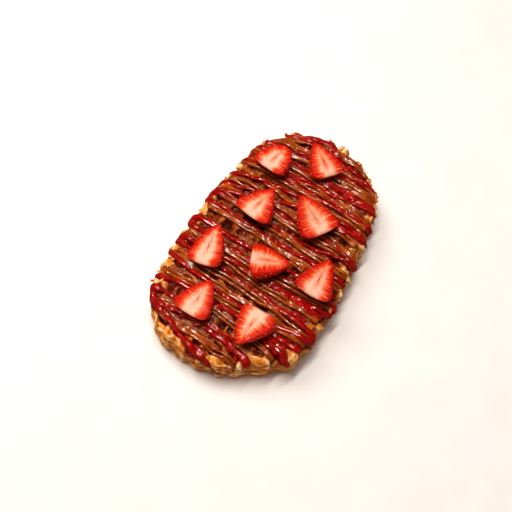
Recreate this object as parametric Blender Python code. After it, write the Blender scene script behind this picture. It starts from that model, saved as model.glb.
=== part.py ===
"""Croffle: croissant dough pressed in a waffle iron, with nine halved strawberries on top.

Metres, +Z up. The croffle lies flat, its length along Y and its width along X, and the
origin is on the surface that it rests on, at the middle of its bounding box.
"""

import math

import bmesh
import bpy
import numpy as np
from mathutils import Euler

MM = 0.001

# Croffle body
THICKNESS = 25.0 * MM
OUTLINE_MM = (
    (8, 99), (29, 88.5), (47, 72), (55, 42), (57.5, 2), (57, -40), (51, -68), (33, -83), (14, -95),
    (-10, -99), (-37, -92.5), (-53, -71), (-57.5, -44), (-57, -5), (-52, 40), (-46, 69), (-28, 90),
    (-9, 96.5),
)
STEPS_PER_SPAN = 7
SCALLOP = 0.9 * MM  # how far the rim stands out where a ridge of the grid meets it

# Rim section, from the underside up: (height as a share of the thickness, inset from the outline)
RIM_SECTION = (
    (0.00, 5.2 * MM),
    (0.05, 2.6 * MM),
    (0.16, 0.8 * MM),
    (0.36, 0.0 * MM),
    (0.62, 0.3 * MM),
    (0.82, 1.4 * MM),
    (0.94, 3.4 * MM),
    (1.00, 6.0 * MM),
)

# Waffle grid, the same on the top and the underside
PITCH_X = 13.0 * MM
PITCH_Y = 14.0 * MM
GRID_X = 4.5 * MM  # centre of one pocket: the dough spread unevenly, so the grid isn't central
GRID_Y = -4.0 * MM
RIDGE = 4.2 * MM  # width of a ridge at its top
POCKET_DEPTH = 7.5 * MM
POCKET_TAPER = 1.4 * MM  # how far each wall leans in on its way down
POCKET_ROOM = 7.6 * MM  # least distance from a pocket's centre to the outline
CUTTER_PROUD = 2.0 * MM

# Strawberry halves, cut face up: centre x and y, heading of the tip in degrees from +X,
# length, width, depth, how blunt the tip is from 0, a cone, to 1, round, how far the stem cut
# leans in on its way down, as a share of the depth, and how the half leans about its length
STRAWBERRIES_MM = (
    (-28.5, 56.0, 78, 23.0, 25.0, 10.5, 1.0, 0.5, -5),
    (0.5, 72.0, 139, 28.5, 23.5, 10.5, 0.3, 0.1, 0),
    (-20.0, 17.5, 79, 28.0, 27.5, 11.5, 0.1, 0.5, -5),
    (14.5, 27.0, 146, 32.0, 27.0, 11.5, 0.5, 0.1, 0),
    (41.0, -12.5, 90, 29.5, 24.5, 10.5, 0.3, 0.5, 3),
    (7.0, -20.0, 21, 25.5, 25.5, 11.0, 0.5, 0.4, -12),
    (-34.5, -28.5, 97, 31.5, 22.5, 9.5, 0.4, 0.1, -6),
    (-21.0, -65.5, 86, 27.0, 24.5, 10.0, 0.3, 0.5, -5),
    (17.0, -68.5, 262, 27.5, 24.5, 10.5, 0.35, 0.3, 11),
)
REST_GAP = 0.3 * MM  # between a strawberry and the ridges under it
WIDEST_AT = 0.15  # share of the length from the stem cut to the widest section
STEM_SHARE = 0.92  # width of the stem cut, as a share of the full width
EQUATOR = 0.40  # height of the cut face above the widest level, as a share of the depth
SECTIONS = 11
SECTION_POINTS = 13

CRUST_COLOUR = (0.52, 0.23, 0.06, 1.0)
STRAWBERRY_COLOUR = (0.80, 0.06, 0.02, 1.0)


def clear_scene():
    for obj in list(bpy.data.objects):
        bpy.data.objects.remove(obj, do_unlink=True)


def material(name, colour, roughness):
    mat = bpy.data.materials.new(name)
    mat.use_nodes = True
    shader = mat.node_tree.nodes["Principled BSDF"]
    shader.inputs["Base Color"].default_value = colour
    shader.inputs["Roughness"].default_value = roughness
    shader.inputs["Metallic"].default_value = 0.0
    return mat


def mesh_object(name, bm, mat):
    bmesh.ops.recalc_face_normals(bm, faces=bm.faces)
    mesh = bpy.data.meshes.new(name)
    bm.to_mesh(mesh)
    bm.free()
    mesh.materials.append(mat)
    obj = bpy.data.objects.new(name, mesh)
    bpy.context.scene.collection.objects.link(obj)
    return obj


def smooth_outline(points, steps):
    """A closed Catmull-Rom curve through the points, centred on its bounding box."""
    points = np.array(points, float) * MM
    before, after, beyond = (np.roll(points, shift, axis=0) for shift in (1, -1, -2))
    curve = []
    for k in range(len(points)):
        for t in np.arange(steps) / steps:
            curve.append(
                0.5 * (2 * points[k] + (after[k] - before[k]) * t)
                + 0.5 * (2 * before[k] - 5 * points[k] + 4 * after[k] - beyond[k]) * t**2
                + 0.5 * (3 * (points[k] - after[k]) + beyond[k] - before[k]) * t**3
            )
    curve = np.array(curve)
    return curve - (curve.max(axis=0) + curve.min(axis=0)) / 2


def outward_normals(curve):
    """Unit normals of a closed clockwise curve, pointing away from its inside."""
    along = np.roll(curve, -1, axis=0) - np.roll(curve, 1, axis=0)
    across = np.stack([-along[:, 1], along[:, 0]], axis=1)
    return across / np.linalg.norm(across, axis=1, keepdims=True)


def scalloped(curve):
    """The outline with a soft bulge where each ridge of the waffle grid runs out to the rim."""
    normals = outward_normals(curve)
    ridge_x = -np.cos(2 * math.pi * (curve[:, 0] - GRID_X) / PITCH_X)
    ridge_y = -np.cos(2 * math.pi * (curve[:, 1] - GRID_Y) / PITCH_Y)
    bulge = ridge_x * np.abs(normals[:, 1]) + ridge_y * np.abs(normals[:, 0])
    curve = curve + normals * (SCALLOP * bulge)[:, None]
    return curve - (curve.max(axis=0) + curve.min(axis=0)) / 2


def distance_to(curve, x, y):
    """Distance from a point inside the outline to the outline's nearest point."""
    return np.hypot(curve[:, 0] - x, curve[:, 1] - y).min()


def inside(curve, x, y):
    """Whether a point lies inside the closed outline, by counting the edges a ray crosses."""
    ends = np.roll(curve, -1, axis=0)
    spans = (curve[:, 1] > y) != (ends[:, 1] > y)
    rise = np.where(spans, ends[:, 1] - curve[:, 1], 1.0)
    crossing = curve[:, 0] + (y - curve[:, 1]) * (ends[:, 0] - curve[:, 0]) / rise
    return bool(np.count_nonzero(spans & (crossing > x)) % 2)


def add_body(outline, mat):
    """The uncut slab: one ring of the outline for each step of the rim section."""
    normals = outward_normals(outline)
    bm = bmesh.new()
    rings = []
    for share, inset in RIM_SECTION:
        ring = outline - normals * inset
        rings.append([bm.verts.new((x, y, share * THICKNESS)) for x, y in ring])
    count = len(outline)
    for low, high in zip(rings, rings[1:]):
        for k in range(count):
            j = (k + 1) % count
            bm.faces.new((low[k], low[j], high[j], high[k]))
    bm.faces.new(rings[0])
    bm.faces.new(rings[-1])
    return mesh_object("croffle", bm, mat)


def pocket_centres(outline):
    """Centres of the grid's pockets with enough dough round them to hold their walls."""
    half_columns = int(np.abs(outline[:, 0]).max() / PITCH_X) + 1
    half_rows = int(np.abs(outline[:, 1]).max() / PITCH_Y) + 1
    for column in range(-half_columns, half_columns + 1):
        for row in range(-half_rows, half_rows + 1):
            x = GRID_X + column * PITCH_X
            y = GRID_Y + row * PITCH_Y
            if inside(outline, x, y) and distance_to(outline, x, y) > POCKET_ROOM:
                yield x, y


def add_pocket_cutters(name, outline, floor, mouth, mat):
    """A block for each pocket, from its small floor out past its wide mouth, in one mesh."""
    proud = math.copysign(CUTTER_PROUD, mouth - floor)
    lean = POCKET_TAPER * (1 + CUTTER_PROUD / POCKET_DEPTH)
    bm = bmesh.new()
    for x, y in pocket_centres(outline):
        corners = []
        for z, out in ((floor, -POCKET_TAPER), (mouth + proud, lean - POCKET_TAPER)):
            half_x = (PITCH_X - RIDGE) / 2 + out
            half_y = (PITCH_Y - RIDGE) / 2 + out
            signs = ((-1, -1), (1, -1), (1, 1), (-1, 1))
            corners.append([bm.verts.new((x + a * half_x, y + b * half_y, z)) for a, b in signs])
        small, wide = corners
        bm.faces.new(small)
        bm.faces.new(wide)
        for k in range(4):
            j = (k + 1) % 4
            bm.faces.new((small[k], small[j], wide[j], wide[k]))
    cutter = mesh_object(name, bm, mat)
    cutter.hide_render = True
    cutter.display_type = "WIRE"
    return cutter


def add_croffle():
    mat = material("crust", CRUST_COLOUR, 0.62)
    outline = scalloped(smooth_outline(OUTLINE_MM, STEPS_PER_SPAN))
    body = add_body(outline, mat)
    sides = (
        ("top_pockets", THICKNESS - POCKET_DEPTH, THICKNESS),
        ("underside_pockets", POCKET_DEPTH, 0.0),
    )
    for name, floor, mouth in sides:
        cutter = add_pocket_cutters(name, outline, floor, mouth, mat)
        cut = body.modifiers.new(name, "BOOLEAN")
        cut.operation = "DIFFERENCE"
        cut.solver = "EXACT"
        cut.object = cutter
    body.data.shade_smooth()
    body.data.set_sharp_from_angle(angle=math.radians(35))
    return body


def half_width(t, blunt):
    """Half the width at share t of the length from the stem cut, as a share of the widest."""
    if t < WIDEST_AT:
        return 1 - (1 - STEM_SHARE) * ((WIDEST_AT - t) / WIDEST_AT) ** 2
    u = (t - WIDEST_AT) / (1 - WIDEST_AT)
    return (1 - u ** (1.12 + 0.78 * blunt)) ** (0.83 - 0.29 * blunt)


def add_strawberry(number, berry, mat):
    """Half a strawberry, with its flat face up, its stem cut off and its skin below."""
    x, y, heading, length, width, depth, blunt, undercut, lean = berry
    length, width, depth = length * MM, width * MM, depth * MM
    tilt = math.asin(EQUATOR)
    below = depth / (1 + EQUATOR)  # from the widest level down to the lowest point
    bm = bmesh.new()
    rings = []
    for k in range(SECTIONS):
        t = math.sin(0.5 * math.pi * k / SECTIONS)
        scale = half_width(t, blunt)
        ring = []
        for angle in np.linspace(-tilt, math.pi + tilt, SECTION_POINTS):
            side = -width / 2 * scale * math.cos(angle) / math.cos(tilt)
            drop = (math.sin(angle) + EQUATOR) * below * scale**0.85
            along = length * (t - 0.5) + undercut * drop * (1 - t) ** 2
            ring.append(bm.verts.new((along, side, -drop)))
        rings.append(ring)
    tip = bm.verts.new((length / 2, 0, 0))
    for first, second in zip(rings, rings[1:]):
        for j in range(SECTION_POINTS - 1):
            bm.faces.new((first[j], first[j + 1], second[j + 1], second[j]))
    for j in range(SECTION_POINTS - 1):
        bm.faces.new((rings[-1][j], rings[-1][j + 1], tip))
    bm.faces.new(rings[0])
    rim = [ring[0] for ring in rings] + [tip] + [ring[-1] for ring in reversed(rings)]
    bm.faces.new(rim)
    obj = mesh_object(f"strawberry_{number}", bm, mat)
    turn = Euler((math.radians(lean), 0, math.radians(heading))).to_matrix()
    lowest = min((turn @ vertex.co).z for vertex in obj.data.vertices)
    obj.location = (x * MM, y * MM, THICKNESS + REST_GAP - lowest)
    obj.rotation_euler = turn.to_euler()
    obj.data.shade_smooth()
    obj.data.set_sharp_from_angle(angle=math.radians(40))
    return obj


def main():
    clear_scene()
    croffle = add_croffle()
    mat = material("strawberry", STRAWBERRY_COLOUR, 0.35)
    for number, berry in enumerate(STRAWBERRIES_MM, start=1):
        add_strawberry(number, berry, mat).parent = croffle


main()
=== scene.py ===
"""The looks of a croffle with chocolate, strawberry sauce and nine halved strawberries.

Meshes are in metres. The arrays that shape the surfaces are in millimetres, in the frame of the
CAD solids, and turn into metres when a mesh is made.
"""

import math
from collections import namedtuple
from itertools import product

import bpy
import numpy as np
from mathutils import Matrix, Vector


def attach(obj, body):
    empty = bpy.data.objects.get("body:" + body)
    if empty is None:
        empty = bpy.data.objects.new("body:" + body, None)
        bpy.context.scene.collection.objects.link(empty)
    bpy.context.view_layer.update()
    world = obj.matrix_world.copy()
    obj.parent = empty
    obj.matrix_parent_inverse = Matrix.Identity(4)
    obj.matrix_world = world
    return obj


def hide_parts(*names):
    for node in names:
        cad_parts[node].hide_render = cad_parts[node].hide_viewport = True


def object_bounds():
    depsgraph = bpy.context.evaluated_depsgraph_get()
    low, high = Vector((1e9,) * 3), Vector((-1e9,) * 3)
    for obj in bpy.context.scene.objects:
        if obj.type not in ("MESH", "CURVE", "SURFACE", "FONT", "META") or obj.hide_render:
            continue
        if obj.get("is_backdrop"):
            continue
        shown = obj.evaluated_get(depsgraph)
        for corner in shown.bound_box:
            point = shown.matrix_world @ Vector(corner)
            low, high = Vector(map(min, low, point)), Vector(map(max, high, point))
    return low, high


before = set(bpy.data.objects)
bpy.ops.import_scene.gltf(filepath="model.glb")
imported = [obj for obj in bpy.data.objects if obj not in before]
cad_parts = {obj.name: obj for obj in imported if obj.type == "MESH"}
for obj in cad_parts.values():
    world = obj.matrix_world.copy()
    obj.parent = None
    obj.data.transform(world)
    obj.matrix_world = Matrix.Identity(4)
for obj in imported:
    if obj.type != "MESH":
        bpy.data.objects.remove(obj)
CAD_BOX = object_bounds()

MM = 0.001
BODY = "root"
BERRIES = [f"strawberry_{number}" for number in range(1, 10)]

# Camera: its place from the croffle's origin, the way it looks in degrees, and its lens
CAMERA_PLACE_MM = (63.3, -235.5, 483.3)
CAMERA_AZIMUTH = 17.315
CAMERA_ELEVATION = 63.412
CAMERA_ROLL = 12.514
LENS_MM = 52.73

MOST_TRIANGLES = 190000  # of one piece
LEAST_PART = 0.02  # loose parts of a surface with fewer of its points than this share are dropped

# Crust
CRUST_STEP = 0.62
RIDGE = 4.2  # width of a ridge of the waffle grid at its top
POCKET_CORNER = 2.4  # radius of a pocket's corners, seen from above
WALL_RUN = 3.0  # how far a pocket's wall takes to reach its full depth
RIM_RADIUS = 6.5
RIM_BAND = 7.0  # width of the band by the rim where the crust gets thinner
RIM_GAP = 4.2  # how much lower the rim is between two ridges
LAYER = 1.7  # thickness of a layer of the laminated dough
FLAKES = 110
FLAKE_SIZE = ((2.4, 6.5), (1.6, 3.6), (0.25, 0.45))  # least and most length, width, thickness
CRUMBS = 520
CRUMB_SIZE = (0.25, 0.7)

# Sauces
SAUCE_STEP = 0.5
SAUCE_SPACING = 0.5  # of the points along a strand
RIPPLE = 0.85  # size of the ripples on a sauce
RIPPLE_HEIGHT = 0.08
BLEND = 7.0  # how crisply two strands of a sauce stay apart where they meet, in 1/mm
BLEND_REACH = 1.2  # how far outside a strand it still adds to the sauce
TURN_MOST = 10.0  # ends of two passes further apart than this aren't joined by a turn

# Each pass of the chocolate, far to near: where along the croffle it lies, in mm, at the left
# edge, in the middle and at the right edge
CHOCOLATE_PASSES = (
    (88, 91, 85), (80, 87, 84), (78, 77, 74), (76, 74, 67), (69, 69, 66), (59, 62, 65),
    (61, 59, 47), (50, 52, 45), (48, 45, 40), (41, 33, 27), (30, 25, 18), (22, 17, 13),
    (15, 7, 2), (1, -3, -9), (-22, -25, -24), (-24, -33, -38), (-41, -43, -50),
    (-44, -51, -53), (-56, -57, -56), (-58, -66, -75), (-76, -77, -77), (-81, -86, -87),
    (-84, -88, -91),
)
# Passes that stop before the right edge: number from the far end, and how far right they reach
CHOCOLATE_STOPS = {20: 9, 21: 11, 22: 20}
RED_PASSES = (
    (90, 93, 93), (85, 85, 74), (71, 72, 75), (64, 62, 60), (53, 54, 57), (48, 48, 44),
    (35, 40, 34), (25, 31, 33), (16, 21, 13), (14, 10, 12), (6, 0, -2), (-10, -14, -16),
    (-17, -22, -20), (-28, -30, -30), (-33, -39, -48), (-43, -54, -53), (-62, -61, -61),
    (-70, -75, -85), (-79, -79, -87), (-79, -91, -98),
)
RED_STOPS = {0: 4, 19: 7}
# Strands poured by themselves, each as points (x, y) in mm
CHOCOLATE_STRANDS = (((17, -8), (28, -10)), ((30, -65), (42, -66)), ((-50, -41), (-36, -46)))
RED_STRANDS = (
    ((12, 61), (30, 60), (46, 58)),
    ((33, 31), (41, 31)),
    ((8, -30), (30, -32), (53, -34)),
    ((28, -43), (39, -43), (47, -46)),
    ((29, -68), (41, -69), (50, -74)),
    ((28, -64), (40, -63)),
)

# Strawberries
BERRY_ROWS, BERRY_COLUMNS = 72, 73  # of the skin's grid, from stem to tip and from rim to rim
CAP_ROWS = 16  # of the stem cut's grid, from the cut face down
SEED_SPACING = 3.0
SEED_ROWS = 0.87  # distance between rows of seeds, as a share of their spacing
SEED_SIZE = (0.52, 0.34, 0.26)
DIMPLE_DEPTH = 0.45
DIMPLE_RADIUS = 1.15
CORNER = 1.4  # how far the corners of the stem end are rounded back
STEM_OUT = 0.6  # how much the berry is longer at the stem end than its solid
STEM_BOW = 1.3  # how far the middle of the stem end stands out
CAP_BOW = 0.8  # how far the stem cut stands out at half its height
LEAST_UNDERCUT = 0.35  # least lean of the stem cut, forward for each mm down
EQUATOR = 0.40  # height of the cut face above the widest level, as a share of the depth below it

# Where the random draws of the noise, the flakes, the crumbs and the first strawberry start
NOISE_DRAWS, FLAKE_DRAWS, CRUMB_DRAWS, BERRY_DRAWS = 5, 31, 37, 100
LATTICE_SIZE = 64  # of the random values behind the noise: a power of two
LATTICE = np.random.default_rng(NOISE_DRAWS).uniform(-1, 1, (LATTICE_SIZE,) * 3)
LATTICE = LATTICE.astype(np.float32)


# ---------------------------------------------------------------- numbers and fields


def smooth(x):
    """Rises from 0 to 1 as x does, with a soft start and end."""
    x = np.clip(x, 0, 1)
    return x * x * (3 - 2 * x)


def unit(vectors):
    """The vectors along the last axis, at length 1."""
    return vectors / np.maximum(np.linalg.norm(vectors, axis=-1, keepdims=True), 1e-9)


def noise(x, y, z=0.0):
    """Smooth noise from -1 to 1, in cells of unit size."""
    x, y, z = np.broadcast_arrays(x, y, z)
    cells = [np.floor(a).astype(np.int64) for a in (x, y, z)]
    shares = [smooth(a - cell) for a, cell in zip((x, y, z), cells)]
    total = 0
    for corner in product((0, 1), repeat=3):
        weight = 1
        for far, share in zip(corner, shares):
            weight = weight * (share if far else 1 - share)
        at = ((cell + far) & (LATTICE_SIZE - 1) for cell, far in zip(cells, corner))
        total = total + weight * LATTICE[tuple(at)]
    return total


def octaves(x, y, *parts):
    """Noise over the plan, summed over (height, size, pattern) with heights and sizes in mm."""
    return sum(height * noise(x / size, y / size, pattern) for height, size, pattern in parts)


def signed_distance(x, y, loop):
    """Distance of each point to a closed loop, negative inside it."""
    nearest = np.full(x.shape, np.inf)
    within = np.zeros(x.shape, bool)
    for (ax, ay), (bx, by) in zip(loop, np.roll(loop, -1, axis=0)):
        dx, dy = bx - ax, by - ay
        share = np.clip(((x - ax) * dx + (y - ay) * dy) / (dx * dx + dy * dy), 0, 1)
        nearest = np.minimum(nearest, np.hypot(x - ax - share * dx, y - ay - share * dy))
        if dy:
            within ^= ((ay > y) != (by > y)) & (x < ax + (y - ay) * dx / dy)
    return np.where(within, -nearest, nearest)


class Plan:
    """A map of values over the plan of the croffle, read by linear interpolation."""

    def __init__(self, x, y, values):
        self.x, self.y, self.values = x, y, values

    def at(self, x, y):
        u = np.clip((x - self.x[0]) / (self.x[1] - self.x[0]), 0, len(self.x) - 1.001)
        v = np.clip((y - self.y[0]) / (self.y[1] - self.y[0]), 0, len(self.y) - 1.001)
        i, j = u.astype(int), v.astype(int)
        u, v = u - i, v - j
        low = self.values[i, j] * (1 - v) + self.values[i, j + 1] * v
        high = self.values[i + 1, j] * (1 - v) + self.values[i + 1, j + 1] * v
        return low * (1 - u) + high * u


def surface_net(field, origin, step):
    """The surface where the field is zero, negative inside, as (points, quads)."""
    cells = np.array(field.shape) - 1
    total = np.zeros((*cells, 3), np.float32)
    count = np.zeros(cells, np.float32)
    edges = []
    for axis in range(3):
        low = np.delete(field, -1, axis)
        high = np.delete(field, 0, axis)
        cross = (low < 0) != (high < 0)
        share = np.where(cross, low / np.where(cross, low - high, 1), 0)
        edges.append((cross, low < 0))
        others = [a for a in range(3) if a != axis]
        for corner in product((0, 1), repeat=2):
            part = [slice(None)] * 3
            for other, far in zip(others, corner):
                part[other] = slice(far, far + cells[other])
            hit = cross[tuple(part)]
            count += hit
            total[..., axis] += share[tuple(part)]
            for other, far in zip(others, corner):
                total[..., other] += far * hit
    used = count > 0
    index = np.full(cells, -1, np.int64)
    index[used] = np.arange(np.count_nonzero(used))
    place = np.stack(np.nonzero(used), axis=1)
    points = origin + step * (place + total[used] / count[used][:, None])
    quads = []
    for axis, (cross, starts_inside) in enumerate(edges):
        b, c = ((axis + 1) % 3, (axis + 2) % 3)
        inner = [slice(None)] * 3
        inner[b] = inner[c] = slice(1, -1)
        at = np.stack(np.nonzero(cross[tuple(inner)]), axis=1)
        at[:, b] += 1
        at[:, c] += 1
        corners = []
        for back_b, back_c in ((1, 1), (0, 1), (0, 0), (1, 0)):
            cell = at.copy()
            cell[:, b] -= back_b
            cell[:, c] -= back_c
            corners.append(index[tuple(cell.T)])
        ring = np.stack(corners, axis=1)
        outward = starts_inside[tuple(at.T)]
        quads.append(np.where(outward[:, None], ring, ring[:, ::-1]))
    return points, np.concatenate(quads)


def main_parts(points, faces):
    """The mesh without its loose crumbs, the parts with few of its points."""
    label = np.arange(len(points))
    while True:
        low = label[faces].min(axis=1)
        before = label.copy()
        np.minimum.at(label, faces.ravel(), np.repeat(low, faces.shape[1]))
        label = label[label]
        if (label == before).all():
            break
    sizes = np.bincount(label, minlength=len(points))
    keep = sizes[label] >= LEAST_PART * len(points)
    number = np.cumsum(keep) - 1
    return points[keep], number[faces[keep[faces].all(axis=1)]]


# ---------------------------------------------------------------- meshes and pieces


def mesh_object(name, points, faces, materials, attributes=(), sharp=None):
    """A smooth-shaded object from points in millimetres and faces as rows of indices."""
    mesh = bpy.data.meshes.new(name)
    mesh.from_pydata((points * MM).tolist(), [], faces.tolist())
    for key, values in dict(attributes).items():
        layer = mesh.attributes.new(key, "FLOAT", "POINT")
        layer.data.foreach_set("value", np.asarray(values, np.float32))
    for mat in materials:
        mesh.materials.append(mat)
    mesh.shade_smooth()
    if sharp:
        mesh.set_sharp_from_angle(angle=math.radians(sharp))
    obj = bpy.data.objects.new(name, mesh)
    bpy.context.scene.collection.objects.link(obj)
    return obj


def add_piece(obj, slot, *nodes):
    """Makes the object a piece of the croffle that stands for these CAD nodes."""
    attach(obj, BODY)
    if nodes:
        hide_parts(*nodes)


def cad_mesh(node):
    """A CAD node's points in millimetres and its triangles."""
    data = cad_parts[node].data
    points = np.empty(len(data.vertices) * 3, np.float32)
    data.vertices.foreach_get("co", points)
    data.calc_loop_triangles()
    faces = np.empty(len(data.loop_triangles) * 3, np.int32)
    data.loop_triangles.foreach_get("vertices", faces)
    return points.reshape(-1, 3).astype(float) / MM, faces.reshape(-1, 3)


def round_order(points):
    """The different points of a convex ring, in order round their middle."""
    points = np.unique(np.round(points, 3), axis=0)
    away = points[:, :2] - points[:, :2].mean(axis=0)
    return points[np.argsort(np.arctan2(away[:, 1], away[:, 0]))]


def grid_faces(rows, columns, start=0):
    """Quads over a grid of points that is stored row by row."""
    k, j = np.meshgrid(np.arange(rows - 1), np.arange(columns - 1), indexing="ij")
    low = start + (k * columns + j).ravel()
    return np.stack([low, low + 1, low + 1 + columns, low + columns], axis=1)


def joined(shapes, quads):
    """Many shapes of the same grid as one mesh of (points, quads)."""
    count = len(shapes[0])
    return np.vstack(shapes), np.vstack([quads + k * count for k in range(len(shapes))])


def ellipsoid(rows, columns):
    """A unit ball as (points, quads)."""
    polar = np.linspace(0.12, math.pi - 0.12, rows)[:, None]
    round_it = np.linspace(0, 2 * math.pi, columns, endpoint=False)[None, :]
    x, y = np.sin(polar) * np.cos(round_it), np.sin(polar) * np.sin(round_it)
    points = np.stack([x, y, np.broadcast_to(np.cos(polar), x.shape)], axis=-1).reshape(-1, 3)
    k, j = (a.ravel() for a in np.meshgrid(np.arange(rows - 1), np.arange(columns), indexing="ij"))
    low, high, after = k * columns, (k + 1) * columns, (j + 1) % columns
    return points, np.stack([low + j, high + j, high + after, low + after], axis=1)


# ---------------------------------------------------------------- materials


def rgb(red, green, blue):
    """A screen colour, 0 to 255, as the linear colour that shaders take."""
    return tuple(((c / 255 + 0.055) / 1.055) ** 2.4 for c in (red, green, blue)) + (1.0,)


def gloss(level, *tint):
    """The shader's inputs for the body's own shine."""
    return {"Specular_IOR_Level": level, "Specular_Tint": (*tint, 1.0)}


def coat(weight, roughness, ior=1.5):
    """The shader's inputs for a wet film over everything."""
    return {"Coat_Weight": weight, "Coat_Roughness": roughness, "Coat_IOR": ior}


def glow(weight, *reach_mm):
    """The shader's inputs for light that travels this far inside, in red, green and blue."""
    reach = tuple(value * MM for value in reach_mm)
    return {"Subsurface_Weight": weight, "Subsurface_Radius": reach, "Subsurface_Scale": 0.4}


class Graph:
    """A material's nodes. An input given as a socket is linked, and any other value is set."""

    def __init__(self, name):
        self.material = bpy.data.materials.new(name)
        self.material.use_nodes = True
        self.tree = self.material.node_tree
        self.shader = self.tree.nodes["Principled BSDF"]

    def put(self, node, inputs):
        for key, value in inputs.items():
            if isinstance(value, bpy.types.NodeSocket):
                self.tree.links.new(value, node.inputs[key])
            else:
                node.inputs[key].default_value = value
        return node

    def node(self, kind, inputs=None, **settings):
        node = self.tree.nodes.new("ShaderNode" + kind)
        for key, value in settings.items():
            setattr(node, key, value)
        return self.put(node, inputs or {})

    def position(self):
        return self.node("TexCoord").outputs["Object"]

    def attribute(self, name):
        return self.node("Attribute", attribute_name=name).outputs["Fac"]

    def vector(self, x, y, z=0.0):
        return self.node("CombineXYZ", {"X": x, "Y": y, "Z": z}).outputs[0]

    def texture(self, vector, scale, detail, roughness=0.5, distortion=0.0):
        inputs = {"Vector": vector, "Scale": scale, "Detail": detail, "Roughness": roughness}
        return self.node("TexNoise", {**inputs, "Distortion": distortion}).outputs["Fac"]

    def noise(self, size_mm, detail=3.0, roughness=0.55, distortion=0.0):
        """Noise from 0 to 1 with patches of about this size."""
        return self.texture(self.position(), 1 / (size_mm * MM), detail, roughness, distortion)

    def math(self, operation, a, b):
        return self.node("Math", {0: a, 1: b}, operation=operation).outputs[0]

    def times(self, first, *others):
        for other in others:
            first = self.math("MULTIPLY", first, other)
        return first

    def total(self, *terms, base=0.0):
        """The base plus each value times its weight."""
        for value, weight in terms:
            base = self.math("ADD", base, self.times(value, weight))
        return base

    def between(self, value, low, high):
        """0 below low and 1 above high, with a soft rise between them."""
        inputs = {"Value": value, "From Min": low, "From Max": high}
        node = self.node("MapRange", inputs, interpolation_type="SMOOTHSTEP", clamp=True)
        return node.outputs["Result"]

    def ramp(self, value, *stops):
        """Screen colours at stops from 0 to 1, each given as (place, colour)."""
        node = self.node("ValToRGB", {"Fac": value})
        elements = node.color_ramp.elements
        while len(elements) < len(stops):
            elements.new(1.0)
        for element, (place, colour) in zip(elements, stops):
            element.position = place
            element.color = rgb(*colour)
        return node.outputs["Color"]

    def mix(self, share, first, second):
        return self.node("Mix", {0: share, 6: first, 7: second}, data_type="RGBA").outputs[2]

    def bump(self, height, depth_mm, normal=None):
        inputs = {"Height": height, "Distance": depth_mm * MM, "Strength": 1.0}
        if normal:
            inputs["Normal"] = normal
        return self.node("Bump", inputs).outputs["Normal"]

    def finish(self, **inputs):
        self.put(self.shader, {key.replace("_", " "): value for key, value in inputs.items()})
        return self.material


def crust_material():
    """Baked laminated dough, amber where browned: cream on its high spots and darker in its pockets
    and hollows, partly browning and partly painted highlight and painted shade, and dark where sauce
    soaks in, partly painted shade between the strands.
    """
    g = Graph("crust")
    patches = g.noise(8.0, detail=4.0, distortion=0.5)
    flecks = g.noise(1.8, detail=5.0, roughness=0.65)
    lift, soak_and_shade = g.attribute("lift"), g.attribute("soak_and_shade")
    # lift is low deep in the pockets, and relief is low in hollows and high on lumps: the tone they
    # add paints shade into pockets and hollows and a highlight onto lumps.
    heights = ((lift, 0.2), (g.attribute("relief"), 0.30))
    tone = g.total((patches, 0.62), (flecks, 0.38), *heights, base=-0.18)
    colour = g.ramp(
        tone, (0.22, (84, 24, 0)), (0.36, (154, 64, 8)), (0.50, (210, 112, 28)),
        (0.62, (242, 164, 76)), (0.74, (255, 224, 172)),
    )
    # Darker ramp where sauce soaks into the crust, which also paints shade between the strands.
    soaked_and_shaded = g.ramp(
        tone, (0.22, (44, 4, 0)), (0.42, (80, 15, 1)), (0.58, (124, 42, 6)), (0.78, (204, 108, 34))
    )
    colour = g.mix(g.between(soak_and_shade, 0.15, 0.7), colour, soaked_and_shaded)
    spread = g.total((flecks, 0.8), base=g.attribute("stain"))
    colour = g.mix(g.between(spread, 0.66, 0.84), colour, rgb(120, 5, 0))
    layers = g.node(
        "TexWave",
        {"Vector": g.position(), "Scale": 230.0, "Distortion": 5.0, "Detail": 3.0},
        bands_direction="Z",
    ).outputs["Fac"]
    normal = g.bump(g.noise(1.8, detail=2.0, roughness=0.5), 0.45)
    return g.finish(
        Base_Color=colour, Roughness=g.total((soak_and_shade, -0.2), base=0.42),
        Normal=g.bump(layers, 0.15, normal),
        **gloss(0.35, 1.0, 0.8, 0.6), **coat(0.12, 0.05), **glow(0.06, 4, 2, 1),
    )


def flake_material():
    g = Graph("flakes")
    tone = g.noise(4.0, detail=4.0, roughness=0.6)
    colour = g.ramp(tone, (0.30, (168, 88, 26)), (0.48, (220, 142, 62)), (0.64, (250, 208, 150)))
    normal = g.bump(g.noise(0.6, detail=4.0), 0.2)
    return g.finish(Base_Color=colour, Roughness=0.5, Normal=normal, **coat(0.15, 0.3))


def crumb_material():
    g = Graph("crumbs")
    tone = g.noise(2.0, detail=2.0)
    colour = g.ramp(tone, (0.30, (96, 30, 4)), (0.50, (160, 80, 24)), (0.68, (232, 160, 84)))
    normal = g.bump(g.noise(0.7, detail=2.0), 0.2)
    return g.finish(Base_Color=colour, Roughness=0.35, Normal=normal, **coat(0.6, 0.04))


def chocolate_material():
    """Chocolate spread: mid brown, glossy, uneven enough to break its highlights."""
    g = Graph("chocolate")
    streaks = g.noise(5.0, detail=4.0, roughness=0.6, distortion=0.8)
    return g.finish(
        Base_Color=g.ramp(streaks, (0.25, (98, 28, 0)), (0.50, (150, 58, 4)), (0.75, (194, 96, 20))),
        Roughness=0.5, Normal=g.bump(g.noise(2.4, detail=1.0, roughness=0.5), 0.4),
        **gloss(0.1, 1.0, 0.7, 0.4), **coat(1.0, 0.18, ior=1.75), **glow(0.04, 3, 1.5, 0.8),
    )


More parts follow.
